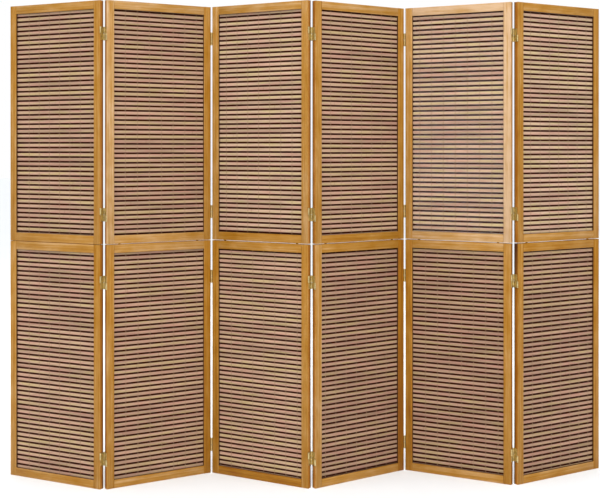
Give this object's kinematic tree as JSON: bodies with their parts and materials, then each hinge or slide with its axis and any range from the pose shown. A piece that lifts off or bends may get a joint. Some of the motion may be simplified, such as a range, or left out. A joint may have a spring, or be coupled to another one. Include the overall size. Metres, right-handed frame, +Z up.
{
  "type": "folding screen",
  "caption": "Folding zigzag screen of hinged wooden panels, each with an upper and a lower frame that hold a woven mat of flat bamboo slats and dark sticks.",
  "frame": {"origin": "on the floor, at the middle of the standing screen's outline in plan", "axes": "+Z up, +X along the screen from panel 1 to panel 6, +Y from the front, which the picture shows, to the back"},
  "size_m": [2.1577, 0.2808, 1.7],
  "materials": {
    "frame_wood": "clear satin lacquer",
    "bamboo_slat": "plain, unvarnished",
    "dark_stick": "dark stain",
    "warp_thread": "twisted cotton",
    "dowel_wood": "turned, unvarnished",
    "hinge_brass": "brass-plated sheet steel, satin",
    "hinge_pin": "riveted brass-plated wire",
    "hinge_screw": "brass-plated countersunk head"
  },
  "bodies": {
    "panel_1": {"panel_1_stiles": "frame_wood", "panel_1_rails": "frame_wood", "panel_1_slats": "bamboo_slat", "panel_1_sticks": "dark_stick", "panel_1_threads": "warp_thread", "panel_1_dowels": "dowel_wood", "panel_1_hinge_leaves": "hinge_brass", "panel_1_hinge_links": "hinge_brass", "panel_1_hinge_pins": "hinge_pin", "panel_1_screws": "hinge_screw"},
    "panel_2": {"panel_2_stiles": "frame_wood", "panel_2_rails": "frame_wood", "panel_2_slats": "bamboo_slat", "panel_2_sticks": "dark_stick", "panel_2_threads": "warp_thread", "panel_2_dowels": "dowel_wood", "panel_2_hinge_leaves": "hinge_brass", "panel_2_hinge_links": "hinge_brass", "panel_2_hinge_pins": "hinge_pin", "panel_2_screws": "hinge_screw"},
    "panel_3": {"panel_3_stiles": "frame_wood", "panel_3_rails": "frame_wood", "panel_3_slats": "bamboo_slat", "panel_3_sticks": "dark_stick", "panel_3_threads": "warp_thread", "panel_3_dowels": "dowel_wood", "panel_3_hinge_leaves": "hinge_brass", "panel_3_hinge_links": "hinge_brass", "panel_3_hinge_pins": "hinge_pin", "panel_3_screws": "hinge_screw"},
    "panel_4": {"panel_4_stiles": "frame_wood", "panel_4_rails": "frame_wood", "panel_4_slats": "bamboo_slat", "panel_4_sticks": "dark_stick", "panel_4_threads": "warp_thread", "panel_4_dowels": "dowel_wood", "panel_4_hinge_leaves": "hinge_brass", "panel_4_hinge_links": "hinge_brass", "panel_4_hinge_pins": "hinge_pin", "panel_4_screws": "hinge_screw"},
    "panel_5": {"panel_5_stiles": "frame_wood", "panel_5_rails": "frame_wood", "panel_5_slats": "bamboo_slat", "panel_5_sticks": "dark_stick", "panel_5_threads": "warp_thread", "panel_5_dowels": "dowel_wood", "panel_5_hinge_leaves": "hinge_brass", "panel_5_hinge_links": "hinge_brass", "panel_5_hinge_pins": "hinge_pin", "panel_5_screws": "hinge_screw"},
    "panel_6": {"panel_6_stiles": "frame_wood", "panel_6_rails": "frame_wood", "panel_6_slats": "bamboo_slat", "panel_6_sticks": "dark_stick", "panel_6_threads": "warp_thread", "panel_6_dowels": "dowel_wood", "panel_6_hinge_leaves": "hinge_brass", "panel_6_hinge_links": "hinge_brass", "panel_6_hinge_pins": "hinge_pin", "panel_6_screws": "hinge_screw"}
  },
  "joints": [
    {"name": "fold_2", "type": "hinge", "parent": "panel_3", "child": "panel_2", "pos_m": [-0.35112, 0.06737, 0.85], "axis": [0, 0, 1], "range_deg": [-59.5, 118.5]},
    {"name": "fold_1", "type": "hinge", "parent": "panel_2", "child": "panel_1", "pos_m": [-0.71055, -0.11915, 0.85], "axis": [0, 0, -1], "range_deg": [-56.9, 121.1]},
    {"name": "fold_3", "type": "hinge", "parent": "panel_3", "child": "panel_4", "pos_m": [0.01245, -0.11095, 0.85], "axis": [0, 0, 1], "range_deg": [-63.7, 114.3]},
    {"name": "fold_4", "type": "hinge", "parent": "panel_4", "child": "panel_5", "pos_m": [0.35725, 0.1014, 0.85], "axis": [0, 0, -1], "range_deg": [-62.2, 115.8]},
    {"name": "fold_5", "type": "hinge", "parent": "panel_5", "child": "panel_6", "pos_m": [0.72536, -0.06735, 0.85], "axis": [0, 0, 1], "range_deg": [-58.9, 119.1]}
  ]
}
